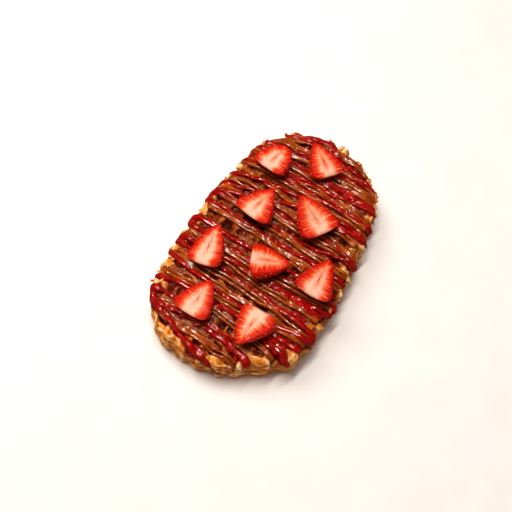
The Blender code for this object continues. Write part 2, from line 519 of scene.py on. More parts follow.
def red_material():
    """Strawberry sauce: deep red with a wet gloss, and brighter where pulp shows in it."""
    g = Graph("red_sauce")
    pulp = g.noise(2.6, detail=4.0, roughness=0.65)
    return g.finish(
        Base_Color=g.ramp(pulp, (0.28, (84, 0, 0)), (0.50, (150, 1, 0)), (0.72, (200, 12, 0))),
        Roughness=0.35, Normal=g.bump(g.noise(2.2, detail=1.0, roughness=0.5), 0.5),
        **gloss(0.12, 1.0, 0.4, 0.3), **coat(0.9, 0.16, ior=1.65), **glow(0.15, 4, 0.5, 0.2),
    )


def flesh_material():
    """The cut face: a pale heart with a slit, fine veins out to the rim, and red under the skin."""
    g = Graph("strawberry_flesh")
    rim, heart, fan, side = (g.attribute(name) for name in ("rim", "heart", "fan", "side"))
    veins = g.texture(g.vector(fan, side, g.times(rim, 0.03)), 1.35, 3.0, 0.7)
    sectors = g.texture(g.vector(fan, side), 0.25, 1.0)
    stretched = g.vector(g.times(g.attribute("along"), 0.16), g.attribute("aside"))
    fibres = g.texture(stretched, 0.9, 4.0, 0.65)
    mottle = g.noise(1.6, detail=5.0, roughness=0.75)
    in_sectors = g.math("ADD", g.between(sectors, 0.4, 0.6), 0.2)
    rays = g.times(g.math("SUBTRACT", veins, 0.5), g.total((heart, -0.9), base=1.0), in_sectors)
    middle_of_noises = 0.5 * (0.4 + 0.55)
    pale = g.total(
        (heart, 0.96), (mottle, 0.4), (rays, 2.0), (fibres, 0.55), (g.attribute("core"), -0.3),
        base=-middle_of_noises,
    )
    colour = g.ramp(
        pale, (0.00, (190, 16, 0)), (0.18, (214, 42, 7)), (0.38, (222, 76, 32)),
        (0.58, (228, 110, 72)), (0.78, (234, 150, 120)), (1.00, (240, 190, 168)),
    )
    reach = g.times(g.between(rim, 0.3, 1.8), g.between(heart, 1.0, 0.1))
    reach = g.times(reach, g.math("ADD", g.between(sectors, 0.4, 0.55), 0.4))
    lines = g.times(g.between(veins, 0.53, 0.63), reach, 0.5)
    colour = g.mix(lines, colour, rgb(238, 156, 124))
    colour = g.mix(g.between(rim, 1.4, 0.0), colour, rgb(174, 3, 0))
    colour = g.mix(g.between(g.attribute("slit"), 0.3, 0.95), colour, rgb(196, 62, 22))
    colour = g.mix(g.attribute("stem"), colour, rgb(202, 50, 14))
    return g.finish(
        Base_Color=colour, Roughness=0.5,
        Normal=g.bump(veins, 0.25, g.bump(g.noise(1.8, detail=2.0), 0.35)),
        **gloss(0.12, 1.0, 0.7, 0.5), **coat(0.05, 0.04), **glow(0.12, 5, 1.2, 0.6),
    )


def skin_material():
    g = Graph("strawberry_skin")
    blush = g.noise(7.0, detail=3.0)
    colour = g.ramp(blush, (0.30, (150, 0, 0)), (0.52, (198, 4, 0)), (0.74, (228, 18, 0)))
    # The dimples round the seeds are painted a darker red: painted shade in the hollows.
    return g.finish(
        Base_Color=g.mix(g.attribute("dimple"), colour, rgb(122, 0, 0)),
        Roughness=0.4, Normal=g.bump(g.noise(1.0, detail=3.0), 0.15),
        **gloss(0.15, 1.0, 0.5, 0.4), **coat(0.35, 0.06), **glow(0.15, 5, 1, 0.5),
    )


def seed_material():
    g = Graph("strawberry_seed")
    colour = g.ramp(g.noise(1.2, detail=2.0), (0.3, (222, 116, 48)), (0.7, (252, 188, 124)))
    return g.finish(Base_Color=colour, Roughness=0.35, **coat(0.3, 0.1))


# ---------------------------------------------------------------- crust


def widest_ring(points):
    """The croffle's outline where it is widest, in order round it."""
    level = points[np.argmax(points[:, 0]), 2]
    return round_order(points[np.abs(points[:, 2] - level) < 0.2])[:, :2]


def pocket_grid(points, faces):
    """The waffle grid's origin, pitch and depth, from the floors of the pockets on top."""
    corners = points[faces]
    flat = np.ptp(corners[..., 2], axis=1) < 0.05
    heights = corners[..., 2].mean(axis=1)
    half = points[:, 2].max() / 2
    floors = flat & (heights > half + 1) & (heights < 2 * half - 1)
    middles = (corners[floors, :, :2].max(axis=1) + corners[floors, :, :2].min(axis=1)) / 2
    depth = 2 * half - np.median(heights[floors])
    pitch = []
    for values in middles.T:
        steps = np.diff(np.unique(np.round(values, 1)))
        pitch.append(np.median(steps[steps > RIDGE]))
    return np.median(middles, axis=0), np.array(pitch), depth


class Croffle:
    """The crust's plan: its outline, and the height of its top and underside at each place.

    At each place, inset is the distance in from the outline, inner is 1 away from the rim and the
    near end, pocket is the depth as a share of the full one, and gap is 1 on the rim between two
    ridges.
    """

    def __init__(self):
        points, faces = cad_mesh("croffle")
        self.thickness = points[:, 2].max()
        self.outline = widest_ring(points)
        origin, pitch, self.depth = pocket_grid(points, faces)
        reach = np.abs(self.outline).max(axis=0) + 7
        self.x, self.y = (np.arange(-side, side, CRUST_STEP) for side in reach)
        x, y = np.meshgrid(self.x, self.y, indexing="ij")
        self.inset = -signed_distance(x, y, self.outline)
        self.edge = self.plan(self.inset)
        slopes = np.gradient(self.inset, CRUST_STEP)
        self.edge_x, self.edge_y = (self.plan(-slope) for slope in slopes)
        self.inner = smooth(self.inset / RIM_BAND - 0.5) * smooth((y + 86) / 10)
        self.pocket, ridge = self.pockets(x, y, origin, pitch)
        self.gap = smooth((RIM_BAND + 0.5 - self.inset) / RIM_BAND) * (1 - ridge)
        lumps = octaves(x, y, (1.1, 4.6, 11.5), (0.4, 2.2, 12.5), (0.1, 1.2, 14.5))
        raised = 0.4 * ridge + lumps + self.folds(x, y)
        lowered = 0.8 + smooth(1 - self.inset / RIM_BAND) + RIM_GAP * self.gap
        self.top = self.thickness - self.depth * self.pocket + raised - lowered
        self.under = self.depth * self.pocket * 0.9 + 0.35 * lumps.clip(0)
        self.surface = self.plan(self.top)

    def plan(self, values):
        return Plan(self.x, self.y, values)

    def pockets(self, x, y, origin, pitch):
        """At each place, the depth of the pockets, and 1 on top of a ridge, both from 0 to 1."""
        strayed_x = x + octaves(x, y, (0.9, 17, 1.5), (0.5, 6, 2.5))
        strayed_y = y + octaves(x, y, (0.9, 17, 7.5), (0.5, 6, 8.5))
        cells, past = [], []
        for at, middle, step in zip((strayed_x, strayed_y), origin, pitch):
            cell = np.round((at - middle) / step)
            cells.append(cell)
            past.append(np.abs(at - middle - cell * step) - (step - RIDGE) / 2 + POCKET_CORNER)
        outside = np.hypot(*(np.maximum(distance, 0) for distance in past))
        from_wall = outside + np.minimum(np.maximum(*past), 0) - POCKET_CORNER
        uneven = 0.88 + 0.14 * noise(cells[0] * 3.7, cells[1] * 5.3, 4.5)
        pocket = smooth(-from_wall / WALL_RUN) * smooth((self.inset - 2.2) / 4.0) * uneven
        filled = self.inner * smooth(0.9 + 0.5 * noise(x / 19, y / 19, 31.5))
        return pocket * (0.64 - 0.5 * filled), smooth((outside - 0.8) / 2.4)

    def folds(self, x, y):
        """Folds of the dough: rounded ones by the rim, and sharp creases further in."""
        creases = np.abs(noise(x / 6.0, y / 6.0, 13.5))
        near = smooth((-68 - y) / 10)
        by_rim = (2.2 + 1.6 * near) * creases - 0.9 - 0.5 * near
        return by_rim + (1.6 - 5.0 * creases - by_rim) * self.inner

    def side_at(self, y, sign):
        """How far out the outline lies to the left (-1) or the right (1) at this height."""
        half = self.outline[self.outline[:, 0] * sign > 0]
        half = half[np.argsort(half[:, 1])]
        return np.interp(y, half[:, 1], half[:, 0])

    def field(self):
        """The crust's solid as (field, origin): negative inside, sampled every CRUST_STEP."""
        z = np.arange(-2, self.thickness + 4, CRUST_STEP)
        x, y, z3 = np.meshgrid(self.x, self.y, z, indexing="ij")
        wave = 1.4 * noise(x[..., :1] / 14, y[..., :1] / 14, 21.5)
        layer = np.floor((z3 + wave) / LAYER)
        frayed = 1.0 * noise(x / 6.5, y / 6.5, layer * 7.31) + 0.9 * noise(x / 4.2, y / 4.2, z3 / 4)
        frayed = frayed + 0.3 * noise(x / 1.9, y / 1.9, z3 / 1.5)
        scallop = 1.8 * self.gap[..., None] * smooth((z3 - 8) / 12)
        out = -self.inset[..., None] + frayed - 0.4 + scallop
        level = np.abs(z3 - self.thickness / 2) - self.thickness / 2
        a, b = out + RIM_RADIUS, level + RIM_RADIUS
        slab = np.hypot(np.maximum(a, 0), np.maximum(b, 0)) - RIM_RADIUS
        slab = slab + np.minimum(np.maximum(a, b), 0)
        below_top = (z3 - self.top[..., None]) * 0.75
        above_under = (self.under[..., None] - z3) * 0.75
        field = np.maximum(slab, np.maximum(below_top, above_under))
        return field, np.array([self.x[0], self.y[0], z[0]])


def neighbour_means(points, faces):
    """A function that gives the mean of each point's neighbours along the faces' edges."""
    after = np.roll(faces, -1, axis=1)
    ends = np.concatenate([faces, after]).ravel()
    others = np.concatenate([after, faces]).ravel()
    degree = np.bincount(ends, minlength=len(points))

    def means(places):
        sums = [np.bincount(ends, values[others], len(places)) for values in places.T]
        return np.stack(sums, axis=1) / degree[:, None]

    return means


def relaxed(points, faces, passes):
    """The points of a surface with its fine steps smoothed away, at the same size."""
    means = neighbour_means(points, faces)
    for _ in range(passes):
        for share in (0.6, -0.62):
            points = points + share * (means(points) - points)
    return points


def point_normals(points, faces):
    """The surface's normal at each of its points."""
    corner = points[faces]
    across = np.cross(corner[:, 2] - corner[:, 0], corner[:, 3] - corner[:, 1])
    normal = np.stack(
        [np.bincount(faces.ravel(), np.repeat(a, 4), len(points)) for a in across.T], axis=1
    )
    return unit(normal)


def ripple(obj):
    """Small ripples over a sauce, which break up its highlights."""
    mesh = obj.data
    points, normals = (np.empty(len(mesh.vertices) * 3, np.float32) for _ in range(2))
    mesh.vertices.foreach_get("co", points)
    mesh.vertex_normals.foreach_get("vector", normals)
    lift = RIPPLE_HEIGHT * MM * noise(*(points.reshape(-1, 3) / MM / RIPPLE).T)
    mesh.vertices.foreach_set("co", points + normals * np.repeat(lift, 3))
    mesh.update()


def relief(points, faces, passes):
    """How far each point stands out from the surface smoothed round it, in mm, and its normal."""
    means = neighbour_means(points, faces)
    soft = points
    for _ in range(passes):
        soft = means(soft)
    normal = point_normals(points, faces)
    return ((points - soft) * normal).sum(axis=1), normal


def thinned(obj):
    """Collapses the object's smallest facets until it has at most MOST_TRIANGLES."""
    count = sum(len(polygon.vertices) - 2 for polygon in obj.data.polygons)
    if count > MOST_TRIANGLES:
        collapse = obj.modifiers.new("thinned", "DECIMATE")
        collapse.ratio = MOST_TRIANGLES / count
        graph = bpy.context.evaluated_depsgraph_get()
        mesh = bpy.data.meshes.new_from_object(obj.evaluated_get(graph))
        obj.modifiers.clear()
        obj.data = mesh


def add_crust(croffle, soak_and_shade, stain, mat):
    """The crust as one closed mesh. Returns its points, normals, relief and how far sauce soaks it,
    which also stands for painted shade between the strands.
    """
    field, origin = croffle.field()
    points, faces = main_parts(*surface_net(field, origin, CRUST_STEP))
    points = relaxed(points, faces, passes=2)
    x, y, z = points.T
    pocket = croffle.plan(croffle.pocket).at(x, y)
    mouth = np.where(z > croffle.thickness / 2, croffle.thickness, 0.0)
    sunk = np.clip(np.abs(z - mouth) / croffle.depth, 0, 1) * smooth(pocket * 4)
    proud, normal = relief(points, faces, passes=16)
    upper = smooth((z - 12) / 8)
    soaked_and_shaded = soak_and_shade.at(x, y) * upper
    # lift and relief make the crust shader paint shade into pockets and hollows and a highlight onto
    # lumps, and the sauce map paints shade between the strands.
    attributes = {
        "lift": 1 - sunk, "soak_and_shade": soaked_and_shaded, "stain": stain.at(x, y) * upper, "relief": proud
    }
    obj = mesh_object("croffle_crust", points, faces, [mat], attributes)
    thinned(obj)
    add_piece(obj, "crust", "croffle")
    return points, normal, proud, soaked_and_shaded


def flake_shape(size, curl, rng):
    """A thin curled shard of crust, about its middle, as a closed grid of (points, quads)."""
    rows, columns = 5, 4
    u, v = np.meshgrid(np.linspace(-1, 1, rows), np.linspace(-1, 1, columns), indexing="ij")
    ragged = rng.uniform(0.75, 1.1, (2, rows, columns))
    x = u * size[0] / 2 * ragged[0] * (1 - 0.25 * np.abs(v))
    y = v * size[1] / 2 * ragged[1] * (1 - 0.35 * np.abs(u) ** 2)
    z = curl * (u**2 + 0.4 * v * u) + rng.uniform(-0.12, 0.12, u.shape)
    thick = size[2] / 2 * (1.1 - 0.6 * np.maximum(np.abs(u), np.abs(v)))
    points = [np.stack([x, y, z + side * thick], axis=-1).reshape(-1, 3) for side in (1, -1)]
    above = grid_faces(rows, columns)
    count = rows * columns
    index = np.arange(count).reshape(rows, columns)
    ring = np.concatenate([index[0], index[1:, -1], index[-1, -2::-1], index[-2:0:-1, 0]])
    after = np.roll(ring, -1)
    wall = np.stack([ring, ring + count, after + count, after], axis=1)
    return np.vstack(points), np.vstack([above[:, ::-1], above + count, wall[:, ::-1]])


def set_on(normal, rng):
    """Axes for something that lies on a surface with this normal, turned at random."""
    ahead = unit(np.cross(normal, rng.normal(size=3)))
    return np.stack([ahead, np.cross(normal, ahead), normal])


def add_flakes(croffle, crust, mat):
    """Shards of the outer layer that lift from the rim."""
    points, normals, proud, soak_and_shade = crust
    rng = np.random.default_rng(FLAKE_DRAWS)
    inset = croffle.edge.at(points[:, 0], points[:, 1])
    bare = (points[:, 2] > 7) & (soak_and_shade < 0.6) & (proud > 0.1) & (normals[:, 2] > -0.2)
    bare &= (inset < 7) & (points[:, 1] > -66)
    shards = []
    for at in rng.choice(np.flatnonzero(bare), FLAKES, replace=False):
        size = [rng.uniform(*span) for span in FLAKE_SIZE]
        shape, quads = flake_shape(size, rng.uniform(0.2, 0.9), rng)
        axes = set_on(unit(normals[at] + rng.normal(0, 0.28, 3)), rng)
        shards.append(points[at] + normals[at] * 0.25 + shape @ axes)
    obj = mesh_object("pastry_flakes", *joined(shards, quads), [mat], sharp=50)
    add_piece(obj, "crust")


def add_crumbs(croffle, covered, mat):
    """Small crumbs of the crust that lie on it and on the sauces."""
    rng = np.random.default_rng(CRUMB_DRAWS)
    ball, quads = ellipsoid(rows=5, columns=6)
    reach = np.abs(croffle.outline).max(axis=0)
    places = rng.uniform(-reach, reach, (4 * CRUMBS, 2))
    places = places[croffle.edge.at(*places.T) > 4][:CRUMBS]
    crumbs = []
    for (x, y), height in zip(places, covered.at(*places.T)):
        rough = ball * rng.uniform(0.7, 1.25, (len(ball), 1))
        crumbs.append(rough * rng.uniform(*CRUMB_SIZE, 3) * (1, 1, 0.7) + (x, y, height))
    add_piece(mesh_object("pastry_crumbs", *joined(crumbs, quads), [mat], sharp=50), "crust")


# ---------------------------------------------------------------- sauces


def spline(points, spacing):
    """Points every so far along a smooth curve through the given ones."""
    points = np.asarray(points, float)
    padded = np.vstack([2 * points[0] - points[1], points, 2 * points[-1] - points[-2]])
    curve = []
    for p0, p1, p2, p3 in zip(padded, padded[1:], padded[2:], padded[3:]):
        for t in np.linspace(0, 1, 24, endpoint=False):
            curve.append(
                0.5 * (2 * p1 + (p2 - p0) * t + (2 * p0 - 5 * p1 + 4 * p2 - p3) * t**2)
                + 0.5 * (3 * (p1 - p2) + p3 - p0) * t**3
            )
    curve = np.array(curve + [points[-1]])
    length = np.concatenate([[0], np.cumsum(np.linalg.norm(np.diff(curve, axis=0), axis=1))])
    at = np.arange(0, length[-1], spacing)
    return np.stack([np.interp(at, length, values) for values in curve.T], axis=1)


# reach: how far past the outline a pass goes; flat: height of a strand for its width; wobble and
# blob: how much its thickness varies, and grows at its turns; sag: how it droops between ridges;
# rise: its centre above the surface; seed: where its random draws start; twin: half the distance
# between paired strands; dribbles: how many short runs lie beside its lines; slim: how much
# thinner it gets towards the ends of the croffle; stiff: over what length it evens out bumps
Sauce = namedtuple(
    "Sauce",
    "name slot passes stops strands reach radius flat wobble blob sag rise seed twin dribbles"
    " slim stiff",
)


def pass_points(croffle, heights, reach, stop, rng):
    """A pass from the left edge to the right one, as a few points."""
    left, middle, right = heights
    start = croffle.side_at(left, -1) - reach + rng.uniform(-2.0, 2.0)
    end = croffle.side_at(right, 1) + reach + rng.uniform(-2.0, 2.0)
    share = np.linspace(0, 1, 9)
    x = start + (end - start) * share
    y = left * (1 - share) * (1 - 2 * share) + 4 * middle * share * (1 - share)
    y = y + right * share * (2 * share - 1) + rng.uniform(-0.7, 0.7, len(share))
    points = np.stack([x, y], axis=1)
    return points if stop is None else points[x < stop + 1]


def strokes(croffle, sauce, rng):
    """The lines that a sauce is poured along: passes joined by turns where they are near."""
    lines = []
    for number, heights in enumerate(sauce.passes):
        line = pass_points(croffle, heights, sauce.reach, sauce.stops.get(number), rng)
        if number % 2:
            line = line[::-1]
        near = lines and abs(line[0, 1] - lines[-1][-1, 1]) < TURN_MOST
        if near and number - 1 not in sauce.stops:
            gap = (lines[-1][-1] + line[0]) / 2
            outward = np.array([math.copysign(1.5, gap[0]), 0])
            lines[-1] = np.vstack([lines[-1], gap + outward, line])
        else:
            lines.append(line)
    lines += [np.array(points, float) for points in sauce.strands]
    lines = [spline(line, SAUCE_SPACING) for line in lines]
    if sauce.twin:
        lines = [side for line in lines for side in parted(line, sauce.twin, rng)]
    lines += [dribble(lines, rng) for _ in range(sauce.dribbles)]
    return lines


def parted(line, apart, rng):
    """Two strands side by side along a line, now closer and now further apart."""
    ahead = unit(np.gradient(line, axis=0))
    aside = np.stack([-ahead[:, 1], ahead[:, 0]], axis=1)
    steps = np.arange(len(line)) * SAUCE_SPACING
    shift = apart * (1 + 0.5 * noise(steps / 15.0, rng.uniform(0, 64)))
    shift = (shift * (1 - 0.2 * at_ends(line)))[:, None]
    return line + aside * shift, line - aside * shift


def at_ends(line):
    """0 over most of the croffle and 1 near its far and near end."""
    return smooth((np.abs(line[:, 1]) - 60) / 10)


def dribble(lines, rng):
    """A short run of sauce beside one of the lines."""
    line = lines[rng.integers(len(lines))]
    count = int(min(rng.uniform(3.0, 11.0) / SAUCE_SPACING, len(line)))
    start = rng.integers(len(line) - count + 1)
    along = line[start : start + count]
    slope = np.linspace(-1, 1, count)[:, None] * rng.uniform(-0.9, 0.9)
    return along + (0.1, 1.0) * (slope + rng.choice((-1, 1)) * rng.uniform(1.2, 2.6))


def bridged(heights, spacing, sag):
    """How a soft strand lies over these heights: it sags between the high places."""
    count = int(math.sqrt(8 / sag) / spacing)
    lifted = heights.copy()
    for k in range(1, count + 1):
        drop = sag * (k * spacing) ** 2
        lifted[k:] = np.maximum(lifted[k:], heights[:-k] - drop)
        lifted[:-k] = np.maximum(lifted[:-k], heights[k:] - drop)
    return lifted


def on_surface(croffle, line, surface, sauce):
    """The strand's centre line in space: over the ridges, and down the side past the rim."""
    x, y = line.T
    height = bridged(surface.at(x, y), SAUCE_SPACING, sauce.sag)
    even = np.hanning(2 * int(sauce.stiff / SAUCE_SPACING) + 3)[1:-1]
    ends = len(even) // 2
    height = np.convolve(np.pad(height, ends, mode="edge"), even / even.sum(), mode="valid")
    inset = croffle.edge.at(x, y)
    past = np.maximum(RIM_RADIUS - inset, 0)
    turn = np.minimum(past / RIM_RADIUS, math.pi / 2)
    down = RIM_RADIUS * (1 - np.cos(turn)) + np.maximum(past - RIM_RADIUS * math.pi / 2, 0)
    shift = np.where(past > 0, RIM_RADIUS * np.sin(turn) - past, 0)
    shift = shift + sauce.rise * np.sin(turn)
    x = x + croffle.edge_x.at(x, y) * shift
    y = y + croffle.edge_y.at(x, y) * shift
    return np.stack([x, y, height - down + sauce.rise * np.cos(turn)], axis=1)


def thickness_along(croffle, line, sauce, rng):
    """The strand's radius at each point: uneven, and thick where the bottle turned or stopped."""
    steps = np.arange(len(line)) * SAUCE_SPACING
    wander = rng.uniform(0, 64)
    swell = 1 + sauce.wobble * noise(steps / 6.0, wander)
    swell = swell + 0.04 * noise(steps / 1.3, wander + 9)
    inset = croffle.edge.at(*line.T)
    from_end = np.minimum(steps, steps[-1] - steps)
    slow = np.maximum(smooth((7.0 - inset) / 5.0), 0.6 * smooth(1 - from_end / 5.0))
    if steps[-1] < 12:
        return sauce.radius * swell * rng.uniform(0.5, 0.85)
    return sauce.radius * (swell + sauce.blob * slow) * (1 - sauce.slim * at_ends(line))


def poured(centre_lines, radii, flatness):
    """The sauce's solid, negative inside: strands that run together where they meet."""
    everything = np.vstack(centre_lines)
    margin = max(radius.max() for radius in radii) + 1.5
    low = everything.min(axis=0) - margin
    size = np.ceil((everything.max(axis=0) + margin - low) / SAUCE_STEP).astype(int)
    total = np.zeros(size, np.float32)
    for line, radius in zip(centre_lines, radii):
        for point, grown in zip(line, radius):
            reach = int(math.ceil((grown + BLEND_REACH) / SAUCE_STEP))
            at = np.round((point - low) / SAUCE_STEP).astype(int)
            start = np.maximum(at - reach, 0)
            stop = np.minimum(at + reach + 1, size)
            ax, ay, az = (
                np.arange(start[i], stop[i]) * SAUCE_STEP + low[i] - point[i] for i in range(3)
            )
            flat = (az / flatness)[None, None, :]
            away = np.sqrt(ax[:, None, None] ** 2 + ay[None, :, None] ** 2 + flat**2)
            block = tuple(slice(start[i], stop[i]) for i in range(3))
            total[block] += np.exp(-BLEND * (away - grown))
    return -np.log(np.maximum(total, 1e-4)) / BLEND, low


def sauce_surface(field, origin, surface):
    """The surface map with this sauce laid over it."""
    x, y, levels = (o + SAUCE_STEP * np.arange(n) for o, n in zip(origin, field.shape))
    highest = Plan(x, y, np.where(field < 0, levels, -1e3).max(axis=2))
    over = highest.at(*np.meshgrid(surface.x, surface.y, indexing="ij"))
    return Plan(surface.x, surface.y, np.maximum(surface.values, np.where(over > 0, over, -1e3)))


def blurred(values, passes):
    """A map of values, spread softly over the plan."""
    for _ in range(passes):
        for axis in (0, 1):
            values = (np.roll(values, 1, axis) + 2 * values + np.roll(values, -1, axis)) / 4
    return values


def add_sauce(croffle, sauce, surface, mat):
    """Pours a sauce on the surface and returns the surface with the sauce over it."""
    rng = np.random.default_rng(sauce.seed)
    flat_lines = strokes(croffle, sauce, rng)
    lines = [on_surface(croffle, line, surface, sauce) for line in flat_lines]
    radii = [thickness_along(croffle, line, sauce, rng) for line in flat_lines]
    field, origin = poured(lines, radii, sauce.flat)
    points, faces = surface_net(field, origin, SAUCE_STEP)
    obj = mesh_object(sauce.name, relaxed(points, faces, passes=9), faces, [mat])
    thinned(obj)
    ripple(obj)
    add_piece(obj, sauce.slot)
    return sauce_surface(field, origin, surface)


def add_sauces(croffle):
    """Both sauces, chocolate first. Returns the top surface with the sauces over it, and maps
    of how far sauce soaks the crust, which also stands for painted shade between the strands, and
    how reddened it is."""
    chocolate = Sauce(
        "chocolate_drizzle", "chocolate", CHOCOLATE_PASSES, CHOCOLATE_STOPS, CHOCOLATE_STRANDS,
        reach=-4.0, radius=1.06, flat=1.05, wobble=0.12, blob=0.2, sag=0.04, rise=0.5,
        seed=11, twin=1.3, dribbles=0, slim=0.2, stiff=4.5,
    )
    red = Sauce(
        "red_drizzle", "red_sauce", RED_PASSES, RED_STOPS, RED_STRANDS,
        reach=-1.5, radius=1.35, flat=0.68, wobble=0.36, blob=0.85, sag=0.09, rise=0.35,
        seed=12, twin=0, dribbles=190, slim=0.0, stiff=2.5,
    )
    brown = add_sauce(croffle, chocolate, croffle.surface, chocolate_material())
    both = add_sauce(croffle, red, brown, red_material())
    wet = (both.values > croffle.surface.values + 0.5).astype(float)
    # Near and between the sauces the crust gets darker: sauce soaking in, and partly painted shade
    # between the strands.
    soak_and_shade = np.maximum(blurred(wet, passes=14) * 1.9, 0.8 * croffle.inner)
    reddened = blurred((both.values > brown.values + 0.3).astype(float), passes=6)
    return both, *(croffle.plan(np.clip(share, 0, 1)) for share in (soak_and_shade, 1.6 * reddened))


# ---------------------------------------------------------------- strawberries


class Berry:
    """A strawberry half's own frame and outline, read from its CAD solid."""

    def __init__(self, node):
        points, faces = cad_mesh(node)
        corner = points[faces]
        normals = np.cross(corner[:, 1] - corner[:, 0], corner[:, 2] - corner[:, 0])
        up = unit(normals[np.argmax(normals[:, 2])])
        right = unit(np.cross((0, 1, 0), up))
        turn = np.stack([right, np.cross(up, right), up])
        level = points @ turn.T
        face = level[:, 2].max()
        rim = round_order(level[level[:, 2] > face - 0.05])[:, :2]
        spans = np.roll(rim, -1, axis=0) - rim
        longest = np.argmax(np.linalg.norm(spans, axis=1))
        stem = rim[longest] + spans[longest] / 2
        side = unit(spans[longest])
        ahead = np.array([-side[1], side[0]])
        if (rim.mean(axis=0) - stem) @ ahead < 0:
            ahead = -ahead
        aside = np.array([-ahead[1], ahead[0]])
        along = (rim - stem) @ ahead
        across = (rim - stem) @ aside
        self.length = along.max()
        order = np.argsort(along)
        self.known = along[order] / self.length
        self.half = across[order]
        self.origin = np.append(stem, face) @ turn
        self.axes = np.stack([np.append(ahead, 0), np.append(aside, 0), (0, 0, 1)]) @ turn
        own = (points - self.origin) @ self.axes.T
        self.depth = -own[:, 2].min()
        deep = own[own[:, 2] < -0.6 * self.depth]
        self.undercut = max((deep[:, 0] / -deep[:, 2]).min(), LEAST_UNDERCUT)

    def half_widths(self, share):
        """Half the width at shares of the length from the stem cut."""
        wide = self.half > 0.1
        known = np.append(self.known[wide], 1.0)
        widths = np.append(self.half[wide], 0.0)
        last = known[-2]
        blunt = widths[-2] * np.sqrt(np.clip((1 - share) / (1 - last), 0, None))
        return np.where(share > last, blunt, np.interp(share, known, widths))

    def place(self, local):
        """Points from the berry's frame (along, aside, up from the face) to the croffle's."""
        return self.origin + local @ self.axes


def skin_shape(berry):
    """The skin as a grid of points, from the stem cut to the tip and round from rim to rim."""
    tilt = math.asin(EQUATOR)
    below = berry.depth / (1 + EQUATOR)
    share = np.sin(0.5 * math.pi * np.linspace(0, 1, BERRY_ROWS))[:, None]
    half = berry.half_widths(share)
    kernel = np.hanning(9)[1:-1] / np.hanning(9).sum()
    half[3:-3, 0] = np.convolve(half[:, 0], kernel, mode="valid")
    scale = half / berry.half_widths(np.linspace(0, 1, 60)).max()
    angle = np.linspace(-tilt, math.pi + tilt, BERRY_COLUMNS)[None, :]
    aside = -half * np.cos(angle) / math.cos(tilt)
    down = (np.sin(angle) + EQUATOR) * below * scale**0.85
    along = share * berry.length + berry.undercut * down * (1 - share) ** 2
    corner = np.abs(np.cos(angle)) ** 3
    along = along + CORNER * corner * np.clip(1 - share / 0.16, 0, 1) ** 2 - STEM_OUT * (1 - share)
    aside = aside * (1 - 0.06 * corner * np.clip(1 - share / 0.12, 0, 1) ** 2)
    return np.stack([along, aside, -down], axis=-1)


def trimmed(grid):
    """The grid with its long edges in the plane of the cut face and its last row at the tip."""
    grid[:, [0, -1], 2] = 0
    grid[-1] = grid[-1].mean(axis=0)
    return grid


def grid_normals(grid):
    """The outward normal at each point of a skin's grid."""
    forward, around = np.gradient(grid, axis=(0, 1))
    return unit(np.cross(around, forward))


def seed_places(grid, rng):
    """Staggered places over the skin's grid, as (row, column) indices."""
    rows, columns = grid.shape[:2]
    along = np.linalg.norm(np.diff(grid[:, columns // 2], axis=0), axis=1)
    along = np.concatenate([[0], np.cumsum(along)])
    places = []
    for number, at in enumerate(np.arange(1.6, along[-1] - 0.6, SEED_SPACING * SEED_ROWS)):
        row = int(np.interp(at, along, np.arange(rows)))
        arc = np.linalg.norm(np.diff(grid[row], axis=0), axis=1).sum()
        count = max(int(arc / SEED_SPACING), 1)
        for k in range(count):
            column = (k + 0.5 + 0.5 * (number % 2)) / (count + 0.5) * (columns - 1)
            row_here = row + rng.integers(-1, 2)
            places.append((np.clip(row_here, 0, rows - 2), int(column + rng.uniform(-1, 1))))
    return [(int(row), min(max(column, 0), columns - 1)) for row, column in places]


def face_attributes(berry, flat, rim_loop, rng):
    """What the flesh shader reads on the cut face: where the heart, veins and slit lie."""
    along, aside = flat[:, 0], flat[:, 1]
    rim = np.full(len(flat), np.inf)
    for point in rim_loop:
        rim = np.minimum(rim, np.hypot(along - point[0], aside - point[1]))
    behind = np.hypot(along + 0.5 * berry.length, aside)
    ahead = np.hypot(along - 0.80 * berry.length, aside)
    fan = (behind - ahead) / 2
    share = along / berry.length
    wide = berry.half > 0.1
    half = np.interp(share, berry.known[wide], berry.half[wide])
    depth_in = rim / (0.35 * berry.half.max() + 0.65 * half)
    ragged = noise(fan / 0.9, 3.0 * np.sign(aside), rng.uniform(0, 64)) * rng.uniform(0.04, 0.13)
    heart = smooth((depth_in - 0.12 + ragged) / 0.58) * smooth((0.97 - share) / 0.2)
    heart = heart * rng.uniform(0.86, 1.0) * (1 + 0.14 * smooth(1 - share / 0.45))
    core = smooth(1.25 - np.abs(aside) / (0.13 * half + 0.45)) * rng.uniform(0.3, 1.0)
    core = core * smooth((share - 0.06) / 0.2) * smooth((0.92 - share) / 0.35)
    slit_half = np.interp(share, [0.28, 0.36, 0.44, 0.52], [0.02, 0.32, 0.4, 0.02])
    slit = smooth(1.5 - np.abs(aside + 0.25 * np.sin(along * 0.8)) / slit_half)
    slit = slit * smooth((share - 0.26) / 0.06) * smooth((0.54 - share) / 0.06)
    return {"rim": rim, "fan": fan, "heart": heart, "core": core, "slit": slit}


def berry_skin(berry, wander, rng):
    """The skin's grid, uneven but not yet dimpled, its normals, and the seeds' places on it."""
    grid = skin_shape(berry)
    bulge = 0.55 * noise(grid[..., 0] / 9, grid[..., 1] / 9 + wander, grid[..., 2] / 9)
    bulge = (bulge * smooth(grid[..., 0] / 3))[..., None]
    grid = trimmed(grid + grid_normals(grid) * (1, 1, 0.35) * bulge)
    places = seed_places(grid, rng)
    return grid, grid_normals(grid), places


